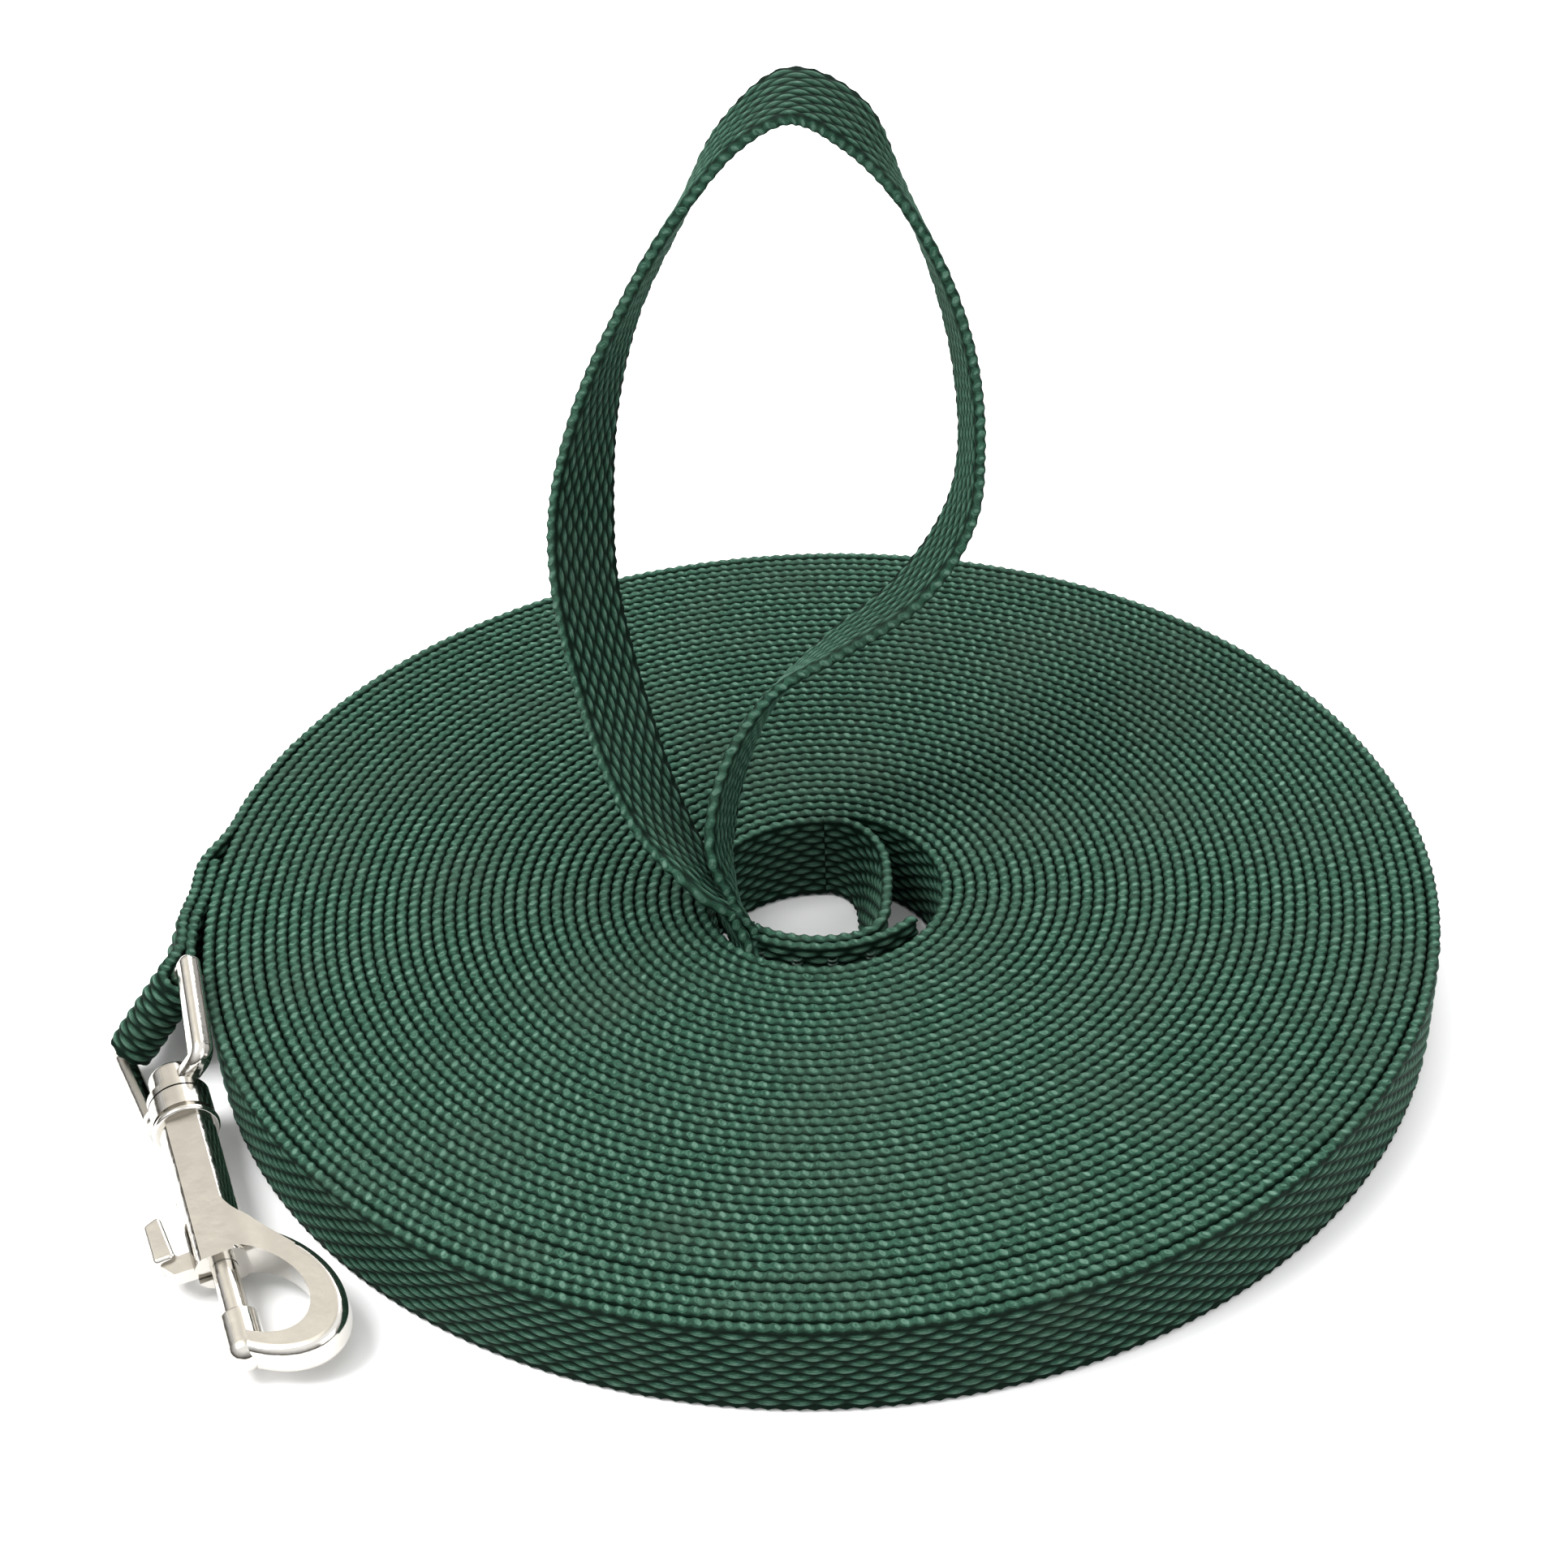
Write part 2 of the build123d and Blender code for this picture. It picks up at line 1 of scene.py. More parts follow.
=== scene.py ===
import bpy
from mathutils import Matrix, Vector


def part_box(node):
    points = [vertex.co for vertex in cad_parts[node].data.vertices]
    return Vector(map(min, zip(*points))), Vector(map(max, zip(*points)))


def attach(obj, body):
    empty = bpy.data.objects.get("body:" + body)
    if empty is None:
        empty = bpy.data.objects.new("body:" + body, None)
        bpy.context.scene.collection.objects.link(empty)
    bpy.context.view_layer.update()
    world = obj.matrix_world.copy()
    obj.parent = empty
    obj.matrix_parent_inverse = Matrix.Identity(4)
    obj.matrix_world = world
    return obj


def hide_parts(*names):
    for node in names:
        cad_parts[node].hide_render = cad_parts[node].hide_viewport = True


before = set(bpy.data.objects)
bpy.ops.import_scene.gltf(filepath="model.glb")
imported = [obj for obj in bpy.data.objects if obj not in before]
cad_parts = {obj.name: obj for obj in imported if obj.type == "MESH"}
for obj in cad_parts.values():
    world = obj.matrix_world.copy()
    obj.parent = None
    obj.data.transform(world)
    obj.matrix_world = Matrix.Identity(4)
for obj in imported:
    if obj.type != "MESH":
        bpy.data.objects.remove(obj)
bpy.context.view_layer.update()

import logging
from dataclasses import dataclass
from enum import Enum
from math import cos, pi, radians, sin
from typing import Callable, Iterator

import bmesh
import bpy
import numpy as np
from mathutils import Matrix, Vector

"""Looks of a wound webbing training leash with a hand loop and a swivel bolt snap.

Lengths are millimetres until a mesh is made, when they become metres. Angles are degrees.
Shapes are first worked out about the coil's own centre, and then moved to the frame's place.
"""

logging.basicConfig(level=logging.INFO, format="%(name)s: %(message)s")
LOG = logging.getLogger("leash")
MM = 0.001
Array = np.ndarray


# ---------------------------------------------------------------- sizes
@dataclass(frozen=True)
class Webbing:
    """The woven strip: its size, and the rhythm of its weave."""

    width: float = 15.0
    thickness: float = 1.65
    turn_gap: float = 0.15
    layer_gap: float = 0.1
    pick: float = 2.0           # along the strip, from one weft to the next
    face_ends: int = 11         # warp ends seen across a face, between the two selvages
    edge_depth: float = 0.85    # how far in each rounded selvage reaches
    float_height: float = 0.56  # from a valley to the crown of a float
    float_bulge: float = 0.20   # how much wider a raised float is than a sunk one
    selvage_sway: float = 0.27  # the edge zigzags from face to face, once a pick
    selvage_bead: float = 0.22  # and rises and falls by this much
    selvage_swell: float = 1.05  # its thickness against the strip's
    leaning_lift: float = 0.1
    strap_clearance: float = 0.1

    @property
    def half_width(self) -> float:
        """From the strip's middle line to its edge."""
        return self.width / 2

    @property
    def turn_pitch(self) -> float:
        """From one turn of the coil to the next."""
        return self.thickness + self.turn_gap

    @property
    def layer_pitch(self) -> float:
        """From one sewn layer to the other."""
        return self.thickness + self.layer_gap


@dataclass(frozen=True)
class Coil:
    """The wound part: a spiral from the hole's wall to the coil's side."""

    hole_radius: float = 17.2
    turns: float = 43.4
    hole_shift: tuple[float, float] = (0.7, -5.4)
    inner_end_angle: float = 86.0
    outer_end_angle: float = 154.0


@dataclass(frozen=True)
class Seam:
    """Where the hand loop is sewn, standing on edge inside the hole."""

    wall_gap: float = 3.9
    start_angle: float = -62.0
    end_angle: float = -128.0
    step: float = 6.0
    flap_steps: int = 3
    centre_x: float = 1.0

    @property
    def steps(self) -> int:
        """Whole steps along the sewn seam."""
        return round((self.start_angle - self.end_angle) / self.step)


@dataclass(frozen=True)
class SnapLie:
    """How the eye and the snap lie beside the coil."""

    eye_rise: float = 8.05
    eye_angle: float = 193.1
    eye_height: float = 10.7
    yaw: float = 19.5
    slope: float = 5.5
    bar_lean: float = 52.0
    body_roll: float = 7.0
    bar_radius: float = 1.6
    fold_clearance: float = 0.2


WEB, COIL, SEAM, LIE = Webbing(), Coil(), Seam(), SnapLie()
COIL_END_RADIUS = COIL.hole_radius + COIL.turns * WEB.turn_pitch


def outer_radius(angle: float) -> float:
    """Radius of the coil's side at an angle, up to one turn before the outer end."""
    return COIL_END_RADIUS - WEB.turn_pitch * (COIL.outer_end_angle - angle) / 360


def inner_radius(angle: float) -> float:
    """Radius of the hole's wall at an angle, up to one turn past the inner end."""
    return COIL.hole_radius + WEB.turn_pitch * (angle - COIL.inner_end_angle) / 360


def polar(radius: float, angle: float, height: float = 0.0) -> Vector:
    """A place about the coil's centre, from a radius, an angle and a height."""
    return Vector((radius * cos(radians(angle)), radius * sin(radians(angle)), height))


def beside_coil(angle: float, rise: float, height: float) -> Vector:
    """A place off the coil's side, by the rise, at an angle and a height."""
    return polar(outer_radius(COIL.outer_end_angle - 360) + rise, angle, height)


def coil_centre() -> Vector:
    """The coil's own centre on the floor, in the frame, from the coil's box."""
    low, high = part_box("webbing_coil")
    right = max(outer_radius(a) * cos(radians(a)) for a in np.arange(-60, 60, 0.25))
    back = max(outer_radius(a) * sin(radians(a)) for a in np.arange(30, 150, 0.25))
    return Vector((high[0] / MM - right, high[1] / MM - back, low[2] / MM))


CENTRE = coil_centre()


# ---------------------------------------------------------------- paths
@dataclass
class Path:
    """Stations along a strip: middle, unit vector across, unit normal, and run along it."""

    middle: Array
    across: Array
    normal: Array
    run: Array

    @property
    def length(self) -> float:
        """From the first station to the last, along the strip."""
        return float(self.run[-1] - self.run[0])

    def part(self, first: int, last: int) -> "Path":
        """The stretch from one station to another, both kept."""
        keep = slice(first, last + 1)
        return Path(self.middle[keep], self.across[keep], self.normal[keep], self.run[keep])


def unit(rows: Array) -> Array:
    """The rows, each made a unit vector."""
    return rows / np.linalg.norm(rows, axis=1, keepdims=True)


def path_from(middle: Array, across: Array, start: float = 0.0) -> Path:
    """Squares the across vectors to the path, and measures it.

    Args:
        middle: the strip's middle at each station.
        across: a direction across it, not yet square.
        start: run at the first station.

    Returns:
        The path.
    """
    along = unit(np.gradient(middle, axis=0))
    across = unit(across - along * (along * across).sum(axis=1, keepdims=True))
    steps = np.linalg.norm(np.diff(middle, axis=0), axis=1)
    run = start + np.concatenate([[0.0], np.cumsum(steps)])
    return Path(middle, across, np.cross(along, across), run)


def smooth_path(stations: list[tuple[Vector, Vector]], step: float, start: float = 0.0) -> Path:
    """A smooth path through given stations.

    Args:
        stations: (middle, direction across) pairs.
        step: distance between the stations that are made.
        start: run at the first station.

    Returns:
        The path, with its stations evenly spaced.
    """
    knots = np.array([[*m, *(a.normalized())] for m, a in stations])
    chords = np.sqrt(np.linalg.norm(np.diff(knots[:, :3], axis=0), axis=1))
    at = np.concatenate([[0.0], np.cumsum(chords)])
    slopes = np.gradient(knots, at, axis=0)
    fine = []
    for i in range(len(knots) - 1):
        span = at[i + 1] - at[i]
        t = np.linspace(0, 1, 24, endpoint=False)[:, None]
        fine.append((2 * t**3 - 3 * t**2 + 1) * knots[i] + (t**3 - 2 * t**2 + t) * span * slopes[i]
                    + (3 * t**2 - 2 * t**3) * knots[i + 1] + (t**3 - t**2) * span * slopes[i + 1])
    fine = np.vstack([*fine, knots[-1:]])
    steps = np.linalg.norm(np.diff(fine[:, :3], axis=0), axis=1)
    lengths = np.concatenate([[0.0], np.cumsum(steps)])
    even = np.linspace(0, lengths[-1], max(3, round(lengths[-1] / step)))
    rows = np.stack([np.interp(even, lengths, fine[:, k]) for k in range(6)], axis=1)
    return path_from(rows[:, :3], rows[:, 3:], start)


# ---------------------------------------------------------------- sections of the strip
class Side(Enum):
    """Which part of the strip's section a point is on."""

    FRONT = 1
    TOP = 2
    BACK = 3
    BOTTOM = 4
    HIDDEN = 5


@dataclass(frozen=True)
class SectionPoint:
    """One point round the section: its side, warp end, and place across that end (-1 to 1)."""

    side: Side
    end: int
    place: float
    at: float = 0.0


def face_points(side: Side, samples: int) -> list[SectionPoint]:
    """Points across a woven face, from the lower selvage to the upper one.

    Args:
        side: the face.
        samples: points across each warp end.

    Returns:
        The points in order.
    """
    points = []
    for end in range(WEB.face_ends):
        for i in range(samples):
            points.append(SectionPoint(side, end, -1 + 2 * i / samples))
    points.append(SectionPoint(side, WEB.face_ends - 1, 1.0))
    return points


def edge_points(side: Side, samples: int) -> list[SectionPoint]:
    """Points round a selvage, from the front face to the back one."""
    return [SectionPoint(side, 0, 0.0, 180 * i / samples) for i in range(1, samples)]


def full_section(samples: int = 4, edge_samples: int = 8) -> list[SectionPoint]:
    """Both faces and both selvages, in order round the strip.

    Args:
        samples: points across each warp end.
        edge_samples: steps round each selvage.

    Returns:
        The points in order.
    """
    back = list(reversed(face_points(Side.BACK, samples)))
    under = list(reversed(edge_points(Side.BOTTOM, edge_samples)))
    return face_points(Side.FRONT, samples) + edge_points(Side.TOP, edge_samples) + back + under


def one_face_section(side: Side, samples: int = 4, edge_samples: int = 8) -> list[SectionPoint]:
    """One face woven in full, and the other one, which another turn covers, plain.

    Args:
        side: the face that shows.
        samples: points across each warp end.
        edge_samples: steps round each selvage.

    Returns:
        The points in order.
    """
    plain = [SectionPoint(Side.HIDDEN, 0, 0.0, at) for at in (0.12, 0.88)]
    woven = face_points(side, samples)
    top, under = edge_points(Side.TOP, edge_samples), edge_points(Side.BOTTOM, edge_samples)
    if side is Side.FRONT:
        covered = [SectionPoint(Side.HIDDEN, -1, 0.0, p.at) for p in reversed(plain)]
        return woven + top + covered + list(reversed(under))
    covered = [SectionPoint(Side.HIDDEN, 1, 0.0, p.at) for p in plain]
    return covered + top + list(reversed(woven)) + list(reversed(under))


def buried_section(edge_samples: int = 8) -> list[SectionPoint]:
    """A turn with another on each side: only its two selvages are modelled closely.

    Args:
        edge_samples: steps round the upper selvage.

    Returns:
        The points in order.
    """
    front = [SectionPoint(Side.HIDDEN, 1, 0.0, at) for at in (0.12, 0.88)]
    back = [SectionPoint(Side.HIDDEN, -1, 0.0, at) for at in (0.88, 0.12)]
    top = edge_points(Side.TOP, edge_samples)
    under = list(reversed(edge_points(Side.BOTTOM, 4)))
    return front + top + back + under


def floats(run: Array, end: int, front: bool) -> Array:
    """How far each warp end is up, 0 to 1, on one face: over a weft, then under the next."""
    phase = run / WEB.pick + end + (0 if front else 1)
    return 0.5 + 0.5 * np.cos(pi * phase)


def offsets(point: SectionPoint, run: Array) -> tuple[Array, Array, Array]:
    """Where a section's point is at each station.

    Args:
        point: the point round the section.
        run: the stations' runs along the strip.

    Returns:
        Offsets across and along the normal, and the relief from 0 (valley) to 1 (crown).
    """
    half, thick = WEB.half_width, WEB.thickness / 2
    reach = half - WEB.edge_depth
    if point.side in (Side.FRONT, Side.BACK):
        front = point.side is Side.FRONT
        end_half = reach / WEB.face_ends
        up = floats(run, point.end, front)
        swell = 1 + WEB.float_bulge * (2 * up - 1)
        across = -reach + end_half * (2 * point.end + 1) + end_half * point.place * swell
        crown = 1 - abs(point.place) ** 2.0
        relief = crown * (0.10 + 0.90 * up ** 0.45)
        lift = WEB.float_height * (relief - 0.62)
        normal = (thick + lift) * (1 if front else -1)
        return across, normal, relief
    if point.side is Side.HIDDEN:
        across = np.full_like(run, -reach + 2 * reach * point.at)
        # covered faces get a low relief, so they are painted mostly in valley shade
        return across, np.full_like(run, point.end * thick * 0.97), np.full_like(run, 0.2)
    turn = radians(point.at)
    upper = 1 if point.side is Side.TOP else -1
    sway = np.cos(2 * pi * run / WEB.pick)
    bead = 0.5 + 0.5 * np.cos(2 * pi * run / WEB.pick + 1.3)
    crest = sin(turn)
    normal = thick * cos(turn) * WEB.selvage_swell + WEB.selvage_sway * sway * crest
    rise = WEB.edge_depth * crest ** 0.6 + WEB.selvage_bead * (bead - 0.5) * crest
    # the selvage's relief drives only the painted shade and highlight
    relief = 0.06 + 0.94 * crest ** 1.6 * (0.55 + 0.45 * bead)
    return upper * (reach + rise), normal, relief


# ---------------------------------------------------------------- strip meshes
def strip_mesh(name: str, path: Path, section: list[SectionPoint],
               closed_ends: bool) -> bpy.types.Object:
    """Skins a path with a woven section.

    Args:
        name: the object's name.
        path: where the strip runs.
        section: the points round it.
        closed_ends: whether the strip's cut ends show and need a face.

    Returns:
        The object, with a UV of (run, across) in millimetres and a relief attribute, from which the
        webbing's painted shade and highlight are mixed.
    """
    rows, columns = len(path.run), len(section)
    places = np.empty((rows, columns, 3))
    relief = np.empty((rows, columns))
    across_at = np.empty((rows, columns))
    for k, point in enumerate(section):
        across, normal, height = offsets(point, path.run)
        places[:, k] = path.middle + path.across * across[:, None] + path.normal * normal[:, None]
        relief[:, k], across_at[:, k] = height, across
    places[:, :, 2] = np.maximum(places[:, :, 2], 0.0)
    corners = grid_corners(rows, columns)
    mesh = bpy.data.meshes.new(name)
    placed = (places.reshape(-1, 3) + np.array(CENTRE)) * MM
    mesh.from_pydata(placed.tolist(), [], corners.tolist())
    if closed_ends:
        close_ends(mesh, rows, columns)
    runs = np.repeat(path.run, columns)
    write_uv(mesh, runs, across_at.ravel())
    write_relief(mesh, relief.ravel())
    mesh.shade_smooth()
    piece = bpy.data.objects.new(name, mesh)
    bpy.context.scene.collection.objects.link(piece)
    LOG.info("%s: %d faces, %.0f mm of webbing", name, len(mesh.polygons), path.length)
    return piece


def grid_corners(rows: int, columns: int) -> Array:
    """Quads of a tube of rows by columns, facing out.

    Args:
        rows: stations along the tube.
        columns: points round it.

    Returns:
        Four vertex numbers to a row.
    """
    row, column = np.meshgrid(np.arange(rows - 1), np.arange(columns), indexing="ij")
    after = (column + 1) % columns
    quads = np.stack([row * columns + column, (row + 1) * columns + column,
                      (row + 1) * columns + after, row * columns + after], axis=-1)
    return quads.reshape(-1, 4)


def close_ends(mesh: bpy.types.Mesh, rows: int, columns: int) -> None:
    """Adds a face over each cut end.

    Args:
        mesh: the strip's mesh.
        rows: stations along it.
        columns: points round it.
    """
    work = bmesh.new()
    work.from_mesh(mesh)
    work.verts.ensure_lookup_table()
    for row, flip in ((0, False), (rows - 1, True)):
        ring = [work.verts[row * columns + k] for k in range(columns)]
        work.faces.new(reversed(ring) if flip else ring)
    work.to_mesh(mesh)
    work.free()


def write_uv(mesh: bpy.types.Mesh, along: Array, across: Array) -> None:
    """Stores millimetres along and across the strip as the mesh's UV.

    Args:
        mesh: the strip's mesh.
        along: each vertex's run.
        across: each vertex's offset across.
    """
    index = np.empty(len(mesh.loops), dtype=np.int64)
    mesh.loops.foreach_get("vertex_index", index)
    layer = mesh.uv_layers.new(name="strip")
    pairs = np.stack([along[index], across[index]], axis=1)
    layer.data.foreach_set("uv", pairs.ravel().astype(np.float32))


def write_relief(mesh: bpy.types.Mesh, relief: Array) -> None:
    """Stores the weave's relief, 0 in a valley to 1 on a crown, at each vertex; the webbing material
    paints shade and highlight from it.
    """
    layer = mesh.attributes.new(name="relief", type="FLOAT", domain="POINT")
    layer.data.foreach_set("value", relief.astype(np.float32))


def straight_up(points: Array) -> Array:
    """A unit vector straight up for every station.

    Args:
        points: the stations' places, one to a row.

    Returns:
        As many rows, each one pointing up.
    """
    up = np.zeros_like(points)
    up[:, 2] = 1.0
    return up


# ---------------------------------------------------------------- the coil
@dataclass
class WoundCoil:
    """The long spiral, made as several stretches of one strip."""

    step: float = 0.5               # between stations along the strip
    most_stations: int = 7000       # in one buried stretch
    open_turns: float = 1.06        # woven in full at the hole and at the coil's side
    cracks: tuple[tuple[float, float], ...] = ((1.0, 0.30), (5.6, 0.24))  # turns from outside, width
    crack_fade: float = 2.2         # turns over which a crack's width is taken up

    def turns(self) -> float:
        """Turns of the strip's middle line, from the hole's start to the outer end."""
        whole = round((COIL_END_RADIUS - COIL.hole_radius) / WEB.turn_pitch - 1)
        return whole + (COIL.outer_end_angle - COIL.inner_end_angle) / 360

    def squeeze(self, outside: Array, angle: Array) -> Array:
        """How far a turn is pressed inward, which leaves a dark crack outside it.

        Args:
            outside: turns from the outside, at each station.
            angle: its angle.

        Returns:
            The distance inward at each station.
        """
        near_side = 0.35 + 0.65 * np.clip(-np.sin(np.radians(angle)), 0, 1)
        total = np.zeros_like(outside)
        for place, width in self.cracks:
            depth = outside - place
            ramp = np.clip(depth / 0.12 + 0.5, 0, 1)
            total += width * ramp * np.exp(-np.clip(depth, 0, None) / self.crack_fade)
        return total * near_side

    def spiral(self) -> Path:
        """The middle line of the whole coil, evenly stepped."""
        turns = self.turns()
        theta = np.linspace(0, turns, round(turns * 2000))
        angle = COIL.inner_end_angle + 360 * theta
        share = theta / turns
        first = COIL.hole_radius + WEB.thickness / 2
        last = COIL_END_RADIUS - WEB.thickness / 2
        radius = first + (last - first) * share - self.squeeze(turns - theta, angle)
        centre = np.array(COIL.hole_shift)[None, :] * (1 - share[:, None])
        outward = np.stack([np.cos(np.radians(angle)), np.sin(np.radians(angle))], 1)
        flat = centre + radius[:, None] * outward
        run = np.concatenate([[0.0], np.cumsum(np.linalg.norm(np.diff(flat, axis=0), axis=1))])
        even = np.linspace(0, run[-1], round(run[-1] / self.step))
        middle = np.stack([np.interp(even, run, flat[:, 0]), np.interp(even, run, flat[:, 1]),
                           np.full_like(even, WEB.half_width)], axis=1)
        return path_from(middle, straight_up(middle))

    def build(self) -> list[bpy.types.Object]:
        """Makes the stretches: the hole's wall, the buried turns and the coil's side."""
        path = self.spiral()
        last = len(path.run) - 1
        hole_run = self.open_turns * 2 * pi * (COIL.hole_radius + 2)
        side_run = self.open_turns * 2 * pi * COIL_END_RADIUS
        hole_stop = int(np.searchsorted(path.run, hole_run))
        side_start = int(np.searchsorted(path.run, path.run[-1] - side_run))
        pieces = [self.stretch("coil_hole_wall", path.part(0, hole_stop), one_face_section(Side.BACK))]
        count = -(-(side_start - hole_stop) // self.most_stations)
        stops = np.linspace(hole_stop, side_start, count + 1).astype(int)
        for i in range(count):
            part = path.part(stops[i], stops[i + 1])
            pieces.append(self.stretch(f"coil_turns_{i + 1}", part, buried_section()))
        pieces.append(self.stretch("coil_side", path.part(side_start, last), one_face_section(Side.FRONT)))
        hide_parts("webbing_coil")
        return pieces

    def stretch(self, name: str, part: Path, section: list[SectionPoint]) -> bpy.types.Object:
        """One stretch of the coil."""
        piece = strip_mesh(name, part, section, closed_ends=False)
        return piece


# ---------------------------------------------------------------- the free straps
def upright(x: float, y: float, lean_x: float = 0.0, lean_y: float = 0.0) -> tuple[Vector, Vector]:
    """A station standing on edge on the floor."""
    return Vector((x, y, WEB.half_width + WEB.leaning_lift)), Vector((lean_x, lean_y, 1))


def seam_radius(layer: int) -> float:
    """Radius of a sewn layer's middle: 0 for the inner one, 1 for the outer."""
    near_wall = -(COIL.hole_shift[1] - inner_radius(270))
    return near_wall - SEAM.wall_gap - WEB.thickness / 2 - (1 - layer) * WEB.layer_pitch


def seam_stations(layer: int, first_step: int, last_step: int) -> list[tuple[Vector, Vector]]:
    """Stations along a sewn layer, in whole steps from the seam's start.

    Args:
        layer: 0 for the inner layer, 1 for the outer.
        first_step: the step to start at.
        last_step: the step to end at.

    Returns:
        The stations.
    """
    way = 1 if last_step > first_step else -1
    stations = []
    for i in range(first_step, last_step + way, way):
        place = polar(seam_radius(layer), SEAM.start_angle - SEAM.step * i, WEB.half_width)
        stations.append((place + Vector((SEAM.centre_x, 0, 0)), Vector((0, 0, 1))))
    return stations


def lead_stations() -> list[tuple[Vector, Vector]]:
    """From the innermost turn across the hole's right side, then along the seam."""
    start = polar(COIL.hole_radius + WEB.thickness / 2, COIL.inner_end_angle, WEB.half_width)
    start += Vector((*COIL.hole_shift, WEB.leaning_lift))
    free = [
        (start, Vector((0, 0, 1))),
        upright(start.x + 0.8, start.y - 0.05),
        upright(start.x + 3.6, start.y - 1.3, 0.03, 0.05),
        upright(start.x + 6.0, start.y - 4.4, 0.12, 0.08),
        upright(start.x + 7.2, start.y - 9.0, 0.24, 0.04),
        upright(start.x + 7.3, start.y - 14.4, 0.28, 0.0),
        upright(start.x + 7.2, start.y - 19.6, 0.24, -0.02),
        upright(start.x + 7.0, start.y - 24.2, 0.16, -0.03),
        upright(start.x + 6.2, start.y - 27.0, 0.08, -0.02),
    ]
    return free + seam_stations(0, 2, SEAM.steps)


def loop_stations() -> list[tuple[Vector, Vector]]:
    """The hand loop: up from the seam's inner layer, over the top, down to the outer layer."""
    inner = seam_stations(0, SEAM.steps, SEAM.steps + 1)
    outer = seam_stations(1, SEAM.steps, SEAM.steps + 1)[0][0]
    rising = [
        ((-2.2, 3.6, 4.0), (0.05, -0.15, 1)),
        ((-3.4, 6.0, 10.0), (-0.08, -0.50, 0.83)),
        ((-4.6, 8.8, 17.5), (-0.20, -0.80, 0.56)),
        ((-2.0, 15.4, 25.8), (-0.18, -0.80, 0.57)),
        ((4.6, 23.4, 33.3), (-0.02, -0.83, 0.56)),
        ((14.2, 28.4, 38.4), (0.12, -0.91, 0.39)),
        ((25.8, 33.4, 44.6), (0.17, -0.94, 0.29)),
        ((33.6, 40.4, 52.5), (0.19, -0.91, 0.36)),
        ((36.2, 46.4, 60.6), (0.12, -0.88, 0.46)),
        ((35.8, 52.4, 72.5), (0.10, -0.90, 0.43)),
        ((32.4, 56.4, 85.5), (0.03, -0.91, 0.40)),
        ((26.5, 59.4, 98.1), (-0.11, -0.94, 0.33)),
        ((19.6, 61.4, 108.2), (-0.23, -0.97, -0.06)),
        ((10.8, 61.6, 112.6), (-0.01, -0.99, -0.14)),
    ]
    falling = [
        ((2.8, 61.7, 107.6), (0.14, -0.98, 0.15)),
        ((-5.6, 59.7, 96.2), (0.00, -0.92, 0.39)),
        ((-13.8, 56.7, 82.9), (-0.10, -0.89, 0.45)),
        ((-19.6, 51.7, 69.4), (-0.34, -0.84, 0.43)),
        ((-22.6, 45.7, 56.0), (-0.56, -0.75, 0.36)),
        ((-22.7, 38.7, 45.7), (-0.58, -0.75, 0.32)),
        ((-19.6, 28.7, 32.8), (-0.58, -0.75, 0.32)),
        ((-15.3, 17.7, 23.5), (-0.53, -0.77, 0.36)),
        ((-11.3, 10.7, 17.8), (-0.43, -0.80, 0.41)),
        ((-6.6, 5.2, 13.4), (-0.29, -0.70, 0.60)),
        ((-3.6, 4.3, 9.2), (-0.16, -0.48, 0.85)),
        ((-1.8, 2.6, 4.0), (-0.04, -0.14, 1)),
    ]
    up = [(inner[0][0] + Vector(offset), Vector(across)) for offset, across in rising]
    down = [(outer + Vector(offset), Vector(across)) for offset, across in falling]
    return inner + up + down + seam_stations(1, SEAM.steps + 1, -SEAM.flap_steps)


def snap_axis() -> Vector:
    """Unit vector along the snap, from its eye to its hook."""
    slope, yaw = radians(LIE.slope), radians(LIE.yaw)
    return Vector((sin(yaw) * cos(slope), -cos(yaw) * cos(slope), -sin(slope)))


def side_of_axis(roll: float) -> Vector:
    """Unit vector square to the snap's axis, turned up from level by roll degrees.

    Args:
        roll: degrees up from level.

    Returns:
        The unit vector.
    """
    axis = snap_axis()
    level = Vector((0, 0, 1)).cross(axis).normalized()
    return level * cos(radians(roll)) + axis.cross(level) * sin(radians(roll))


def eye_bar() -> Vector:
    """Middle of the eye's bar, which the webbing is folded round."""
    return beside_coil(LIE.eye_angle, LIE.eye_rise, LIE.eye_height)


def fold_spine() -> list[tuple[Vector, Vector]]:
    """Middle of the two sewn layers, from the eye's bar back to the tail's cut end."""
    half = WEB.half_width
    return [
        (eye_bar(), side_of_axis(LIE.bar_lean)),
        (beside_coil(188.8, LIE.eye_rise - 1.6, LIE.eye_height - 0.5), Vector((0.55, 0.12, 0.83))),
        (beside_coil(184.4, LIE.eye_rise - 3.2, half + 1.6), Vector((0.33, 0.05, 0.94))),
        (beside_coil(179.7, 1.75 * WEB.layer_pitch, half + 0.5), Vector((0.17, 0.02, 0.98))),
        (beside_coil(174.8, 1.45 * WEB.layer_pitch, half + WEB.leaning_lift), Vector((0.06, 0, 1))),
    ]


def fold_layer(side: int) -> list[tuple[Vector, Vector]]:
    """One layer over the spine, leaving out the bar itself.

    Args:
        side: 1 or -1, for the side of the spine.

    Returns:
        The stations.
    """
    spine = fold_spine()
    stations = []
    for i in range(1, len(spine)):
        middle, across = spine[i]
        along = (spine[min(i + 1, len(spine) - 1)][0] - spine[i - 1][0]).normalized()
        off = across.cross(along).normalized()
        stations.append((middle + off * (side * WEB.layer_pitch / 2), across))
    return stations


